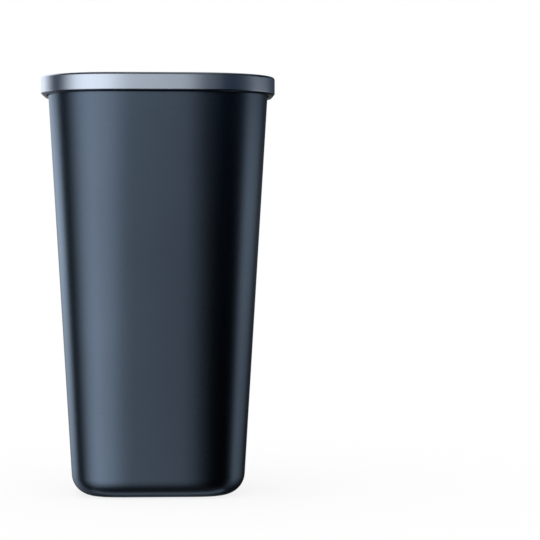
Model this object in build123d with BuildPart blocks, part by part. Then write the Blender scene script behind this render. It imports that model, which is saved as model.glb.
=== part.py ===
"""A small free-standing car trash bin: a tall tapered body with a flat-topped ring pressed over its mouth.

Millimetres, +Z up. The front faces -Y, and the origin is on the floor under the middle of the bin.
"""

import os
from math import radians, tan

from build123d import *

# Overall sizes, measured over the rim ring
bin_width = 100.0
bin_depth = 81.0
bin_height = 179.0
corner_radius = 32.0

# Body: a drafted shell with a rounded base that stands on a narrow foot
draft_angle = 3.4
body_wall = 2.0
base_fillet = 9.3
foot_width = 4.5
foot_height = 1.0
lip_chamfer = 0.4

# Rim ring: an upside-down channel that straddles the body's lip
ring_height = 7.9
ring_overhang = 3.1
ring_web = 1.6
inner_skirt_wall = 1.4
inner_skirt_depth = 8.0
ring_top_chamfer = 0.8
ring_bottom_chamfer = 1.2
mouth_chamfer = 1.0
inner_skirt_chamfer = 0.4
lip_clearance = 0.3

# Heights above the floor
ring_bottom = bin_height - ring_height
body_top = bin_height - ring_web
floor_top = foot_height + body_wall
inner_skirt_bottom = body_top - inner_skirt_depth

draft_slope = tan(radians(draft_angle))
# How far the base fillet reaches in under the body from the foot of its wall
base_fillet_reach = base_fillet * tan(radians(45 - draft_angle / 2))


def body_inset(height):
    """How far the body's outer face lies inside the ring's outer face at a height above the floor."""
    return ring_overhang + (ring_bottom - height) * draft_slope


def cavity_inset(height):
    """The same for the body's inner face."""
    return body_inset(height) + body_wall


def inner_skirt_inset(height):
    """The same for the face of the ring's inner skirt that stands against the body's inner face."""
    return cavity_inset(height) + lip_clearance


def draw_plan(inset):
    """Draw the plan outline, moved in from the ring's outer face by an equal distance all round.

    The rectangle between the corners' centres is grown by what is left of the corner radius.
    """
    Rectangle(bin_width - 2 * corner_radius, bin_depth - 2 * corner_radius)
    offset(amount=corner_radius - inset, kind=Kind.ARC)


def edges_at(height):
    """The edges of the part being built that lie flat at a height above the floor."""
    return edges().filter_by_position(Axis.Z, height, height)


# Skirt of the ring outside the lip: straight, so that it lifts clear of the wall that widens upwards
outer_skirt_wall = body_inset(body_top) - lip_clearance

# The space inside the body, which is taken out of it below
with BuildPart() as cavity:
    with BuildSketch(Plane.XY.offset(floor_top)):
        draw_plan(cavity_inset(floor_top))
    extrude(amount=body_top - floor_top, taper=-draft_angle)
    fillet(edges_at(floor_top), base_fillet - body_wall)

with BuildPart() as bin_body:
    with BuildSketch():
        draw_plan(body_inset(0))
    extrude(amount=body_top, taper=-draft_angle)
    fillet(edges_at(0), base_fillet)
    add(cavity.part, mode=Mode.SUBTRACT)
    chamfer(edges_at(body_top), lip_chamfer)
    # Hollow under the floor, inside the foot
    with BuildSketch():
        draw_plan(body_inset(0) + base_fillet_reach + foot_width)
    extrude(amount=foot_height, mode=Mode.SUBTRACT)
bin_body.part.label = "bin_body"

with BuildPart() as rim_ring:
    with BuildSketch(Plane.XY.offset(ring_bottom)):
        draw_plan(0)
    extrude(amount=ring_height)
    chamfer(edges_at(ring_bottom), ring_bottom_chamfer)
    chamfer(edges_at(bin_height), ring_top_chamfer)
    # Channel that takes the lip
    with BuildSketch(Plane.XY.offset(ring_bottom)):
        draw_plan(outer_skirt_wall)
    extrude(amount=body_top - ring_bottom, mode=Mode.SUBTRACT)
    # Inner skirt, which stands inside the mouth
    with BuildSketch(Plane.XY.offset(inner_skirt_bottom)):
        draw_plan(inner_skirt_inset(inner_skirt_bottom))
    extrude(amount=inner_skirt_depth, taper=-draft_angle)
    # Mouth
    with BuildSketch(Plane.XY.offset(inner_skirt_bottom)):
        draw_plan(inner_skirt_inset(inner_skirt_bottom) + inner_skirt_wall)
    extrude(amount=bin_height - inner_skirt_bottom, taper=-draft_angle, mode=Mode.SUBTRACT)
    chamfer(edges_at(inner_skirt_bottom), inner_skirt_chamfer)
    top_face = faces().sort_by(Axis.Z)[-1]
    chamfer(top_face.inner_wires()[0].edges(), mouth_chamfer)
rim_ring.part.label = "rim_ring"

os.makedirs("parts", exist_ok=True)
export_step(bin_body.part, "parts/bin_body.step")
export_step(rim_ring.part, "parts/rim_ring.step")
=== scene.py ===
"""Looks of the small car trash bin: its satin slate body and satin aluminium rim ring, in a pale studio.

The pieces are swept in metres from sections given in millimetres, in the frame of the CAD.
"""

from math import atan2, cos, hypot, pi, radians, sin, tan

import bpy
from mathutils import Matrix, Vector


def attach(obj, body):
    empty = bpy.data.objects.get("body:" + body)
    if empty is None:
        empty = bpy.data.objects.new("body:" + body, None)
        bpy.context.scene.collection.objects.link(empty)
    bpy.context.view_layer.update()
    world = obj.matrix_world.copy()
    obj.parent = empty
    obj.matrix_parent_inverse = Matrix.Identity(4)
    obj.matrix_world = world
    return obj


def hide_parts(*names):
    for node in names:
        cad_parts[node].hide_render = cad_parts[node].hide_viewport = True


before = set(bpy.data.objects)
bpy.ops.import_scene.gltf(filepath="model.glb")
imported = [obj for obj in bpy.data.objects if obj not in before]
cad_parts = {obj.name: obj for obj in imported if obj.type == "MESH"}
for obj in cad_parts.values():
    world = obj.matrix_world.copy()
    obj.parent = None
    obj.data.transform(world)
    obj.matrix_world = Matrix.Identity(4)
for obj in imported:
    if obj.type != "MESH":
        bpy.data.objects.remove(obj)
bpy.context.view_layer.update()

MM = 0.001

# Sizes of the bin in millimetres and radians, as in the CAD
BIN_WIDTH = 100.0
BIN_DEPTH = 81.0
BIN_HEIGHT = 179.0
DRAFT_ANGLE = radians(3.4)
BODY_WALL = 2.0
BASE_FILLET = 9.3
FOOT_WIDTH = 4.5
FOOT_HEIGHT = 1.0
RING_HEIGHT = 7.9
RING_OVERHANG = 3.1
RING_WEB = 1.6
INNER_SKIRT_WALL = 1.4
INNER_SKIRT_DEPTH = 8.0
LIP_CLEARANCE = 0.3

DRAFT_SLOPE = tan(DRAFT_ANGLE)
RING_BOTTOM = BIN_HEIGHT - RING_HEIGHT
BODY_TOP = BIN_HEIGHT - RING_WEB
FLOOR_TOP = FOOT_HEIGHT + BODY_WALL
INNER_SKIRT_BOTTOM = BODY_TOP - INNER_SKIRT_DEPTH

# Edge roundings in millimetres, in place of the small chamfers and sharp edges of the CAD
LIP_ROUND = 0.45
RING_TOP_ROUND = 1.15
RING_BOTTOM_BEVEL = 0.8
RING_BOTTOM_ROUND = 0.8
MOUTH_ROUND = 1.2
SKIRT_ROUND = 0.4
INNER_CORNER_ROUND = 0.25

# Plan outline in millimetres: the corners' tightest radius, and the lengths over which flats bend into it
TURN_RADIUS = 31.0
FRONT_EASE = 20.0
SIDE_EASE = 6.0

# How finely the pieces are divided, in millimetres and radians
CURVE_STEP = 0.02
OUTLINE_STEP = 2.5
WALL_STEP = 8.0
ARC_STEP = radians(7)
LEAST_ARC_STEPS = 3

# Level margins in millimetres, round the flat caps under the bin and on its floor
UNDER_CAP_MARGIN = 2.0
FLOOR_CAP_MARGIN = 1.0

# Where the pieces are marked: the body as plain from its lip's inner edge on, the ring with painted shade
# by its normals' rise, where it faces down
FIRST_INNER_CORNER = 5
UNDERSIDE_SHADE_START = -0.05
UNDERSIDE_SHADE_FULL = -0.55

# Finishes: the range that most of a noise lies in, and pairs of values that it goes between
NOISE_RANGE = (0.3, 0.7)
SLATE = ((0.127, 0.171, 0.235), (0.140, 0.187, 0.255))
PLAIN_INSIDE = ((0.032, 0.038, 0.047), (0.036, 0.043, 0.053))
SLATE_ROUGHNESS = (0.27, 0.33)
SLATE_EDGE_TINT = (0.86, 0.93, 1, 1)
ALUMINIUM = ((0.725, 0.81, 0.935), (0.765, 0.85, 0.975))
# The ring's colour where it faces down: painted shade, much darker than its metal
PAINTED_SHADE_UNDERSIDE = ((0.055, 0.08, 0.13), (0.06, 0.09, 0.14))
ALUMINIUM_ROUGHNESS = (0.28, 0.34)
BRUSH_STRETCH = (60.0, 7000.0, 1.0)
GRAIN_DEPTH = 0.00002

# Studio, in metres and watts
FLOOR_REACH = 4.0
FLOOR_GREY = (0.95, 0.95, 0.95, 1)
SHADOW_RANGE = (0.04, 0.3)
FLOOR_WHITENESS = (0.85, 1.0)
WHITE = (1, 1, 1, 1)
AMBIENT = 0.5
SOFTBOX_PLACE = (-0.2, -0.2, 1.4)
SOFTBOX_SIZE = 1.2
SOFTBOX_POWER = 13.0
SOFTBOX_TARGET = (0, 0, 0.09)

# Cards of the studio, in metres and degrees
CARD_RADIUS = 0.9
STRIP_RADIUS = 0.85
CARD_STEP = 3
PIT_HEIGHT = -1.3
CEILING_HEIGHT = 0.9

# Faint blue of the room on the cards, as stops of (height in metres, colour)
ROOM_FAINT = (0, 0.001, 0.002)
ROOM_BLUE = (0, 0.019, 0.05)
ROOM_BAND = ((0.19, ROOM_FAINT), (0.26, ROOM_BLUE), (0.45, ROOM_BLUE), (0.6, ROOM_FAINT))

# Camera: straight before the bin, level with its upper part, and turned to the right (lens in millimetres)
CAMERA_DISTANCE = 0.8068
CAMERA_HEIGHT = 0.1187
CAMERA_BEARING = radians(0.7)
CAMERA_PAN = radians(3.44)
CAMERA_TILT = radians(1.593)
CAMERA_ROLL = radians(0.06)
CAMERA_LENS = 123.6
CAMERA_SENSOR = 36.0
CAMERA_CLIP = 0.01


def body_inset(height):
    """How far the body's outer face lies inside the ring's outer face at a height."""
    return RING_OVERHANG + (RING_BOTTOM - height) * DRAFT_SLOPE


def cavity_inset(height):
    """The same for the body's inner face."""
    return body_inset(height) + BODY_WALL


def skirt_inset(height):
    """The same for the face of the ring's inner skirt that stands against the body."""
    return cavity_inset(height) + LIP_CLEARANCE


def quarter():
    """A quarter of the plan outline, from the middle of the front to the middle of the right side.

    Its bend grows evenly from the flat front to the corner and shrinks again to the flat side.
    The points are (x, y, bearing of the normal, length so far), in millimetres and radians.
    """
    arc = (pi / 2 - (FRONT_EASE + SIDE_EASE) / (2 * TURN_RADIUS)) * TURN_RADIUS
    total = FRONT_EASE + arc + SIDE_EASE
    count = round(total / CURVE_STEP)
    step = total / count
    x = y = bearing = 0.0
    curve = [(x, y, bearing, 0.0)]
    for k in range(count):
        along = (k + 0.5) * step
        bend = min(along / FRONT_EASE, 1, (total - along) / SIDE_EASE) / TURN_RADIUS
        middle = bearing + bend * step / 2
        x += cos(middle) * step
        y += sin(middle) * step
        bearing += bend * step
        curve.append((x, y, bearing, (k + 1) * step))
    flat_front = BIN_WIDTH / 2 - x
    flat_side = BIN_DEPTH / 2 - y
    rows = [(0.0, -BIN_DEPTH / 2, 0.0, 0.0)]
    for x, y, bearing, along in curve:
        rows.append((flat_front + x, y - BIN_DEPTH / 2, bearing, flat_front + along))
    rows.append((BIN_WIDTH / 2, 0.0, pi / 2, flat_front + total + flat_side))
    return rows


def outline():
    """The whole plan outline as (point, outward normal, length so far), evenly divided."""
    rows = quarter()
    length = rows[-1][3]
    steps = round(length / OUTLINE_STEP)
    half = []
    place = 0
    for k in range(steps):
        along = k / steps * length
        while rows[place + 1][3] < along:
            place += 1
        low, high = rows[place], rows[place + 1]
        share = (along - low[3]) / (high[3] - low[3])
        half.append([a + (b - a) * share for a, b in zip(low, high)])
    for x, y, bearing, along in reversed([*half[1:], rows[-1]]):
        half.append([x, -y, pi - bearing, 2 * length - along])
    points = []
    for start, sign in ((0, 1), (2 * length, -1)):
        for x, y, bearing, along in half:
            point = Vector((x, y)) * sign
            normal = Vector((sin(bearing), -cos(bearing))) * sign
            points.append((point, normal, start + along))
    return points


def heading(first, second):
    """The direction from one corner of a section to another, as (outward, up)."""
    outward = first[0] - second[0]
    up = second[1] - first[1]
    size = hypot(outward, up)
    return outward / size, up / size


def corner_arc(corner, number, before, after):
    """The rounding of a section's corner, between the directions before and after it.

    The points are (outward, height, normal outward, normal up, number of the corner).
    """
    inset, height, radius = corner
    across = before[0] * after[1] - before[1] * after[0]
    turn = atan2(across, before[0] * after[0] + before[1] * after[1])
    reach = radius * tan(abs(turn) / 2)
    bulge = radius if turn > 0 else -radius
    middle_out = -inset - before[0] * reach - before[1] * bulge
    middle_up = height - before[1] * reach + before[0] * bulge
    steps = max(LEAST_ARC_STEPS, round(abs(turn) / ARC_STEP))
    arc = []
    for k in range(steps + 1):
        angle = turn * k / steps
        out = before[0] * sin(angle) + before[1] * cos(angle)
        up = before[1] * sin(angle) - before[0] * cos(angle)
        arc.append((middle_out + out * bulge, middle_up + up * bulge, out, up, number))
    return arc


def section(corners, closed):
    """A rounded section, as (outward, height, normal outward, normal up, corner, length so far).

    Each corner is (inset, height, radius), and the open side is on the right of the way that they run.
    """
    count = len(corners)
    runs = []
    for i, corner in enumerate(corners):
        before = heading(corners[i - 1], corner)
        after = heading(corner, corners[(i + 1) % count])
        if closed or 0 < i < count - 1:
            runs.append(corner_arc(corner, i, before, after))
        else:
            outward, up = after if i == 0 else before
            runs.append([(-corner[0], corner[1], up, -outward, i)])
    points = []
    for i, run in enumerate(runs):
        points.extend(run)
        if i == count - 1 and not closed:
            break
        begin, end = run[-1], runs[(i + 1) % count][0]
        steps = int(hypot(end[0] - begin[0], end[1] - begin[1]) // WALL_STEP) + 1
        for k in range(1, steps):
            outward = begin[0] + (end[0] - begin[0]) * k / steps
            height = begin[1] + (end[1] - begin[1]) * k / steps
            points.append((outward, height, end[2], end[3], i))
    rows = []
    length = 0.0
    last = points[0]
    for point in points:
        length += hypot(point[0] - last[0], point[1] - last[1])
        rows.append((*point, length))
        last = point
    return rows


def add_object(name, data):
    """A new object in the scene."""
    made = bpy.data.objects.new(name, data)
    bpy.context.scene.collection.objects.link(made)
    return made


def sweep(name, corners, closed, plain_or_shaded):
    """A mesh object of a section carried round the outline, with both ends of an open section capped.

    Its points are marked as plain, or for painted shade, by a function of their corner of the section and
    their normal's rise.
    """
    rows = section(corners, closed)
    loop = outline()
    width = len(loop)
    vertices, normals, marks = [], [], []
    for outward, height, normal_out, normal_up, corner, _ in rows:
        for rim, normal, _ in loop:
            at = rim + normal * outward
            vertices.append(Vector((at.x, at.y, height)) * MM)
            normals.append(Vector((normal.x * normal_out, normal.y * normal_out, normal_up)))
            marks.append(plain_or_shaded(corner, normal_up))
    # Lengths round the outline and along the section, each with the length at which it closes
    around = [row[-1] * MM for row in loop]
    around.append(around[-1] + (loop[0][0] - loop[-1][0]).length * MM)
    along = [row[-1] * MM for row in rows]
    along.append(along[-1] + hypot(rows[0][0] - rows[-1][0], rows[0][1] - rows[-1][1]) * MM)
    faces, places = [], []
    for i in range(len(rows) if closed else len(rows) - 1):
        a, b = i * width, (i + 1) % len(rows) * width
        for k in range(width):
            n = (k + 1) % width
            faces.append((a + k, a + n, b + n, b + k))
            places += [(around[k], along[i]), (around[k + 1], along[i])]
            places += [(around[k + 1], along[i + 1]), (around[k], along[i + 1])]
    if not closed:
        for cap in (reversed(range(width)), range((len(rows) - 1) * width, len(rows) * width)):
            faces.append(tuple(cap))
            places += [vertices[v].xy for v in faces[-1]]
    mesh = bpy.data.meshes.new(name)
    mesh.from_pydata(vertices, [], faces)
    mesh.validate()
    mesh.shade_smooth()
    mesh.normals_split_custom_set_from_vertices(normals)
    mesh.attributes.new("plain_or_shaded", "FLOAT", "POINT").data.foreach_set("value", marks)
    uv = mesh.uv_layers.new(name="UVMap")
    for corner, place in zip(uv.data, places):
        corner.uv = place
    return add_object(name, mesh)


def put(tree, socket, value):
    """Link a socket to an output, or set its value."""
    if isinstance(value, bpy.types.NodeSocket):
        tree.links.new(value, socket)
    else:
        socket.default_value = value


def node(tree, kind, *ordered, **named):
    """A shader node with its sockets set or linked, in order or by name, where _ stands for a space."""
    made = tree.nodes.new(kind)
    for socket, value in zip(made.inputs, ordered):
        put(tree, socket, value)
    for name, value in named.items():
        put(tree, made.inputs[name.replace("_", " ")], value)
    return made


def calculate(tree, operation, first, second):
    """The result of a math node on two values."""
    made = node(tree, "ShaderNodeMath", first, second)
    made.operation = operation
    return made.outputs["Value"]


def map_range(tree, value, source, target):
    """A value carried from one range of (low, high) to another."""
    made = node(
        tree, "ShaderNodeMapRange", Value=value,
        From_Min=source[0], From_Max=source[1], To_Min=target[0], To_Max=target[1],
    )
    return made.outputs["Result"]


def ramp(tree, factor, stops):
    """The colour of a ramp through stops of (factor, colour)."""
    made = node(tree, "ShaderNodeValToRGB", Fac=factor)
    elements = made.color_ramp.elements
    while len(elements) < len(stops):
        elements.new(1)
    for element, (position, color) in zip(elements, stops):
        element.position = position
        element.color = (*color, 1)
    return made.outputs["Color"]


def noise(tree, at, scale, detail, roughness):
    """A noise over the places given."""
    made = node(tree, "ShaderNodeTexNoise", Vector=at, Scale=scale, Detail=detail, Roughness=roughness)
    return made.outputs["Fac"]


def attribute(tree, name):
    """A number that the mesh holds for each of its points."""
    made = tree.nodes.new("ShaderNodeAttribute")
    made.attribute_name = name
    return made.outputs["Fac"]


def marked_colour(tree, texture, shown, plain_or_shaded):
    """A pair of colours mixed by a texture, or another pair where the mesh is marked plain or for painted
    shade.
    """
    first = ramp(tree, texture, list(zip(NOISE_RANGE, shown)))
    second = ramp(tree, texture, list(zip(NOISE_RANGE, plain_or_shaded)))
    tone = node(tree, "ShaderNodeMixRGB", Fac=attribute(tree, "plain_or_shaded"), Color1=first, Color2=second)
    return tone.outputs["Color"]


def new_material(name):
    """An empty material, as (material, node tree, surface socket of its output)."""
    made = bpy.data.materials.new(name)
    made.use_nodes = True
    tree = made.node_tree
    tree.nodes.clear()
    output = tree.nodes.new("ShaderNodeOutputMaterial")
    return made, tree, output.inputs["Surface"]


def slate_finish():
    """A satin slate finish with a metal effect, a fine grain and a faint drift in tone, plain inside."""
    made, tree, surface = new_material("satin_slate")
    at = tree.nodes.new("ShaderNodeTexCoord").outputs["Object"]
    drift = noise(tree, at, scale=26.0, detail=3.0, roughness=0.5)
    grain = noise(tree, at, scale=2200.0, detail=2.0, roughness=0.55)
    bump = node(tree, "ShaderNodeBump", Height=grain, Strength=0.2, Distance=GRAIN_DEPTH)
    shader = node(
        tree, "ShaderNodeBsdfPrincipled",
        Base_Color=marked_colour(tree, drift, SLATE, PLAIN_INSIDE),
        Metallic=calculate(tree, "SUBTRACT", 1.0, attribute(tree, "plain_or_shaded")),
        Roughness=map_range(tree, grain, NOISE_RANGE, SLATE_ROUGHNESS),
        Specular_Tint=SLATE_EDGE_TINT,
        Normal=bump.outputs["Normal"],
    )
    put(tree, surface, shader.outputs["BSDF"])
    return made


def aluminium_finish():
    """Satin aluminium, brushed very finely along the ring, with painted shade darkening it underneath."""
    made, tree, surface = new_material("satin_aluminium")
    along = tree.nodes.new("ShaderNodeTexCoord").outputs["UV"]
    stretch = node(tree, "ShaderNodeMapping", Vector=along, Scale=BRUSH_STRETCH)
    brush = noise(tree, stretch.outputs["Vector"], scale=1.0, detail=3.0, roughness=0.6)
    bump = node(tree, "ShaderNodeBump", Height=brush, Strength=0.1, Distance=GRAIN_DEPTH)
    shader = node(
        tree, "ShaderNodeBsdfPrincipled",
        # Painted shade: the base colour goes dark where the ring faces down
        Base_Color=marked_colour(tree, brush, ALUMINIUM, PAINTED_SHADE_UNDERSIDE),
        Metallic=1.0,
        Roughness=map_range(tree, brush, NOISE_RANGE, ALUMINIUM_ROUGHNESS),
        Normal=bump.outputs["Normal"],
    )
    put(tree, surface, shader.outputs["BSDF"])
    return made


def card_finish():
    """White light as bright as the card's points say, and a faint blue in a band above the bin's height."""
    made, tree, surface = new_material("studio_card")
    glow = node(tree, "ShaderNodeEmission", Strength=attribute(tree, "level"))
    place = tree.nodes.new("ShaderNodeNewGeometry")
    parts = node(tree, "ShaderNodeSeparateXYZ", Vector=place.outputs["Position"])
    room = node(tree, "ShaderNodeEmission", Color=ramp(tree, parts.outputs["Z"], ROOM_BAND))
    both = node(tree, "ShaderNodeAddShader", glow.outputs["Emission"], room.outputs["Emission"])
    put(tree, surface, both.outputs["Shader"])
    return made


def floor_finish():
    """A pale floor that looks white but keeps part of the shadow, most of all near the bin."""
    made, tree, surface = new_material("pale_floor")
    matt = node(tree, "ShaderNodeBsdfDiffuse", Color=FLOOR_GREY)
    white = node(tree, "ShaderNodeEmission", Color=WHITE, Strength=1.0)
    place = tree.nodes.new("ShaderNodeNewGeometry")
    away = node(tree, "ShaderNodeVectorMath", place.outputs["Position"])
    away.operation = "LENGTH"
    whiteness = map_range(tree, away.outputs["Value"], SHADOW_RANGE, FLOOR_WHITENESS)
    light_path = tree.nodes.new("ShaderNodeLightPath")
    share = calculate(tree, "MULTIPLY", light_path.outputs["Is Camera Ray"], whiteness)
    mix = node(tree, "ShaderNodeMixShader", share, matt.outputs["BSDF"], white.outputs["Emission"])
    put(tree, surface, mix.outputs["Shader"])
    return made


def inside(corner, rise):
    """The body's mark: 1 from the inner edge of the lip to the floor inside, and 0 elsewhere."""
    return float(corner >= FIRST_INNER_CORNER)


def underside_shade(corner, rise):
    """The ring's mark of painted shade: 0 where it faces level or up, growing to 1 where it faces down."""
    return min(1.0, max(0.0, (UNDERSIDE_SHADE_START - rise) / (UNDERSIDE_SHADE_START - UNDERSIDE_SHADE_FULL)))


def make_body():
    """The shell, from the hollow under it up its outer face, over the lip and down to the floor inside."""
    hollow_inset = body_inset(0) + BASE_FILLET * tan(pi / 4 - DRAFT_ANGLE / 2) + FOOT_WIDTH
    cavity_floor = cavity_inset(FLOOR_TOP)
    cavity_fillet = BASE_FILLET - BODY_WALL
    body = sweep("bin_shell", [
        (hollow_inset + UNDER_CAP_MARGIN, FOOT_HEIGHT, 0),
        (hollow_inset, FOOT_HEIGHT, INNER_CORNER_ROUND),
        (hollow_inset, 0, INNER_CORNER_ROUND),
        (body_inset(0), 0, BASE_FILLET),
        (body_inset(BODY_TOP), BODY_TOP, LIP_ROUND),
        (cavity_inset(BODY_TOP), BODY_TOP, LIP_ROUND),
        (cavity_floor, FLOOR_TOP, cavity_fillet),
        (cavity_floor + cavity_fillet + FLOOR_CAP_MARGIN, FLOOR_TOP, 0),
    ], closed=False, plain_or_shaded=inside)
    body.data.materials.append(slate_finish())
    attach(body, "bin")
    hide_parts("bin_body")


def make_ring():
    """The ring, from its bottom edge up and over the top, down the mouth and round the channel, with
    painted shade where it faces down.
    """
    outer_skirt_wall = body_inset(BODY_TOP) - LIP_CLEARANCE
    mouth_bottom = skirt_inset(INNER_SKIRT_BOTTOM) + INNER_SKIRT_WALL
    mouth_top = mouth_bottom - (BIN_HEIGHT - INNER_SKIRT_BOTTOM) * DRAFT_SLOPE
    ring = sweep("bag_ring", [
        (RING_BOTTOM_BEVEL, RING_BOTTOM, RING_BOTTOM_ROUND),
        (0, RING_BOTTOM + RING_BOTTOM_BEVEL, RING_BOTTOM_ROUND),
        (0, BIN_HEIGHT, RING_TOP_ROUND),
        (mouth_top, BIN_HEIGHT, MOUTH_ROUND),
        (mouth_bottom, INNER_SKIRT_BOTTOM, SKIRT_ROUND),
        (skirt_inset(INNER_SKIRT_BOTTOM), INNER_SKIRT_BOTTOM, SKIRT_ROUND),
        (skirt_inset(BODY_TOP), BODY_TOP, INNER_CORNER_ROUND),
        (outer_skirt_wall, BODY_TOP, INNER_CORNER_ROUND),
        (outer_skirt_wall, RING_BOTTOM, SKIRT_ROUND),
    ], closed=True, plain_or_shaded=underside_shade)
    ring.data.materials.append(aluminium_finish())
    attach(ring, "ring")
    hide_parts("rim_ring")


def make_floor():
    """A wide floor that doesn't show in reflections."""
    mesh = bpy.data.meshes.new("studio_floor")
    corners = [(x * FLOOR_REACH, y * FLOOR_REACH, 0) for x, y in ((-1, -1), (1, -1), (1, 1), (-1, 1))]
    mesh.from_pydata(corners, [], [(0, 1, 2, 3)])
    mesh.materials.append(floor_finish())
    floor = add_object("studio_floor", mesh)
    floor.visible_glossy = False


def card(name, finish, grid):
    """A card of the studio that only shows in reflections, from rows of (place, brightness)."""
    width = len(grid[0])
    faces = []
    for k in range(len(grid) - 1):
        for n in range(width - 1):
            a, b = k * width + n, (k + 1) * width + n
            faces.append((a, b, b + 1, a + 1))
    mesh = bpy.data.meshes.new(name)
    mesh.from_pydata([place for row in grid for place, _ in row], [], faces)
    levels = [level for row in grid for _, level in row]
    mesh.attributes.new("level", "FLOAT", "POINT").data.foreach_set("value", levels)
    mesh.materials.append(finish)
    made = add_object(name, mesh)
    made.visible_camera = False
    made.visible_diffuse = False
    made.visible_transmission = False
    made.visible_volume_scatter = False
    made.visible_shadow = False


def wall_card(name, finish, radius, rows, stops):
    """A curved upright card round the bin.

    Each stop is (bearing in degrees, lower brightness, upper brightness), and the bearing is 0 towards -Y
    and 90 towards +X. Each row is (height, share of the lower brightness, share of the upper brightness).
    """
    columns = []
    for first, last in zip(stops, stops[1:]):
        steps = max(1, round((last[0] - first[0]) / CARD_STEP))
        for k in range(steps):
            columns.append([a + (b - a) * k / steps for a, b in zip(first, last)])
    columns.append(stops[-1])
    grid = []
    for bearing, lower, upper in columns:
        x = sin(radians(bearing)) * radius
        y = -cos(radians(bearing)) * radius
        grid.append([((x, y, height), lower * low + upper * high) for height, low, high in rows])
    card(name, finish, grid)


def flat_card(name, finish, height, columns, stops):
    """A level card, with stops of (y, brightness) and columns of (x, share of the brightness)."""
    grid = []
    for y, level in stops:
        grid.append([((x, y, height), level * share) for x, share in columns])
    card(name, finish, grid)


def make_cards():
    """What the satin metal reflects, set so that the highlights lie as in the photo."""
    finish = card_finish()
    wall_card(
        "studio_back", finish, CARD_RADIUS,
        rows=[(-1.3, 0.1, 0), (-0.6, 0.22, 0), (-0.15, 0.8, 0), (0.1, 1.4, 0), (0.25, 0, 1), (0.9, 0, 1)],
        stops=[(-174, 0.3, 1.1), (-158, 0.3, 1.1), (-140, 1.1, 1.1), (-118, 1.1, 0.2), (-108, 0, 0)],
    )
    wall_card(
        "studio_front", finish, CARD_RADIUS,
        rows=[
            (-1.3, 0.1, 0), (-0.3, 1.2, 0), (0.1, 1, 0), (0.25, 0, 1),
            (0.5, 0, 1), (0.6, 0, 0.05), (0.9, 0, 0.05),
        ],
        stops=[
            (-108, 0, 0), (-94, 0, 0), (-85, 0.08, 0.05), (-71, 0.48, 0.5), (-58, 0.82, 1),
            (-40, 1, 1.1), (-22, 0.84, 1.1), (-10, 0.74, 1.1), (-2, 0.22, 0.65), (8, 0.04, 0.04),
            (20, 0, 0.14), (36, 0, 0.02), (60, 0, 0.03), (80, 0, 0.12), (100, 0, 0),
            (150, 0, 0.03), (168, 0, 0.06), (180, 0.3, 0.08), (186, 0.3, 0.08),
        ],
    )
    wall_card(
        "studio_strip", finish, STRIP_RADIUS,
        rows=[
            (-1.2, 0, 0), (-0.6, 0.35, 0), (-0.2, 0.9, 0), (-0.05, 0.75, 0.2),
            (0.1, 0.8, 0.65), (0.21, 0.35, 0.45),
        ],
        stops=[(76, 0, 0), (93, 0.54, 0.45), (116, 0.27, 0.5), (136, 0, 0.1), (170, 0.1, 0.1)],
    )
    flat_card(
        "studio_pit", finish, PIT_HEIGHT,
        columns=[(-1.2, 1), (1.2, 1)],
        stops=[(-1.2, 0.03), (0.08, 0.03), (0.22, 0.46), (0.5, 0.46), (0.65, 0), (1.2, 0)],
    )
    flat_card(
        "studio_ceiling", finish, CEILING_HEIGHT,
        columns=[(-1.2, 0.15), (-0.35, 0.15), (0, 1), (0.15, 1), (0.4, 0.2), (1.2, 0.2)],
        stops=[(-1.2, 0.14), (0.35, 0.14), (0.6, 0.7), (1.2, 0.7)],
    )


def make_softbox():
    """A square lamp that looks at the middle of the bin and doesn't show itself."""
    lamp = bpy.data.lights.new("softbox_top", "AREA")
    lamp.size = SOFTBOX_SIZE
    lamp.energy = SOFTBOX_POWER
    made = add_object("softbox_top", lamp)
    made.location = SOFTBOX_PLACE
    aim = Vector(SOFTBOX_TARGET) - Vector(SOFTBOX_PLACE)
    made.rotation_euler = aim.to_track_quat("-Z", "Y").to_euler()
    made.visible_camera = False
    made.visible_glossy = False


def make_world():
    """A world that looks white, also in reflections, and lights the rest more softly."""
    world = bpy.data.worlds.new("studio")
    world.use_nodes = True
    world.cycles.sampling_method = "NONE"
    bpy.context.scene.world = world
    tree = world.node_tree
    tree.nodes.clear()
    rays = tree.nodes.new("ShaderNodeLightPath").outputs
    seen = calculate(tree, "MAXIMUM", rays["Is Camera Ray"], rays["Is Glossy Ray"])
    seen = calculate(tree, "MAXIMUM", seen, rays["Is Transmission Ray"])
    ambient = node(tree, "ShaderNodeBackground", Color=WHITE, Strength=AMBIENT).outputs["Background"]
    backdrop = node(tree, "ShaderNodeBackground", Color=WHITE, Strength=1.0).outputs["Background"]
    mix = node(tree, "ShaderNodeMixShader", seen, ambient, backdrop)
    output = tree.nodes.new("ShaderNodeOutputWorld")
    put(tree, output.inputs["Surface"], mix.outputs["Shader"])


def make_camera():
    """The camera at the photo's angle."""
    data = bpy.data.cameras.new("camera")
    data.sensor_width = CAMERA_SENSOR
    data.lens = CAMERA_LENS
    data.clip_start = CAMERA_CLIP
    camera = add_object("camera", data)
    x = sin(CAMERA_BEARING) * CAMERA_DISTANCE
    y = -cos(CAMERA_BEARING) * CAMERA_DISTANCE
    place = Matrix.Translation((x, y, CAMERA_HEIGHT))
    turn = Matrix.Rotation(CAMERA_BEARING - CAMERA_PAN, 4, "Z")
    lean = Matrix.Rotation(pi / 2 - CAMERA_TILT, 4, "X")
    roll = Matrix.Rotation(CAMERA_ROLL, 4, "Z")
    camera.matrix_world = place @ turn @ lean @ roll
    bpy.context.scene.camera = camera


make_body()
make_ring()
make_floor()
make_cards()
make_softbox()
make_world()
make_camera()

bpy.context.scene.view_settings.view_transform = "Standard"
